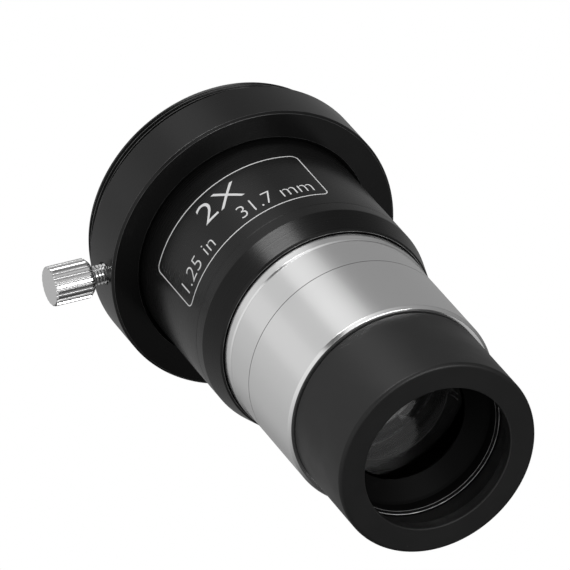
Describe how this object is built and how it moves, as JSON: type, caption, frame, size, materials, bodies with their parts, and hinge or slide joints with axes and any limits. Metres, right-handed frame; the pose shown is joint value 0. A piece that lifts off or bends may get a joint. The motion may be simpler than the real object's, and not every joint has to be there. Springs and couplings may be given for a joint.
{
  "type": "barlow lens",
  "caption": "Telescope Barlow lens for 1.25 inch eyepieces: silver nosepiece, screw-off lens cell, and a thumbscrew collar with an M42 T-thread.",
  "frame": {"origin": "centre of the eyepiece socket's mouth, in the plane of the rear face", "axes": "+Z along the optical axis from the eyepiece end to the lens end, +X out along the thumbscrew"},
  "size_m": [0.0529, 0.0444, 0.0747],
  "materials": {
    "gloss_black": "gloss black anodised",
    "satin_black": "satin black anodised, with a pale printed label",
    "cell_black": "bead-blasted black anodised",
    "matte_black": "flat black blackened",
    "satin_silver": "satin turned",
    "nickel": "bright nickel",
    "coated_glass": "anti-reflection coated"
  },
  "bodies": {
    "body_tube": {"eyepiece_collar": "gloss_black", "main_barrel": "satin_black", "nosepiece": "satin_silver", "glare_stop": "matte_black"},
    "screw_shank": {"thumbscrew_stud": "nickel"},
    "screw_head": {"thumbscrew_knob": "nickel"},
    "cell": {"lens_cell": "cell_black", "lens_seat_ring": "matte_black", "negative_lens": "coated_glass", "meniscus_lens": "coated_glass", "retaining_ring": "matte_black"}
  },
  "joints": [
    {"name": "thumbscrew_feed", "type": "slide", "parent": "body_tube", "child": "screw_shank", "axis": [1, 0, 0], "range_m": [-0.002, 0.0045]},
    {"name": "thumbscrew_turn", "type": "hinge", "parent": "screw_shank", "child": "screw_head", "pos_m": [0.0276, 0, 0.0092], "axis": [1, 0, 0], "range_deg": [-1441, 3241]},
    {"name": "lens_cell_unscrew", "type": "slide", "parent": "body_tube", "child": "cell", "axis": [0, 0, 1], "range_m": [0, 0.012]}
  ],
  "couplings": [
    {"joint": "thumbscrew_turn", "follows": "thumbscrew_feed", "rad_per_m": 12566}
  ]
}
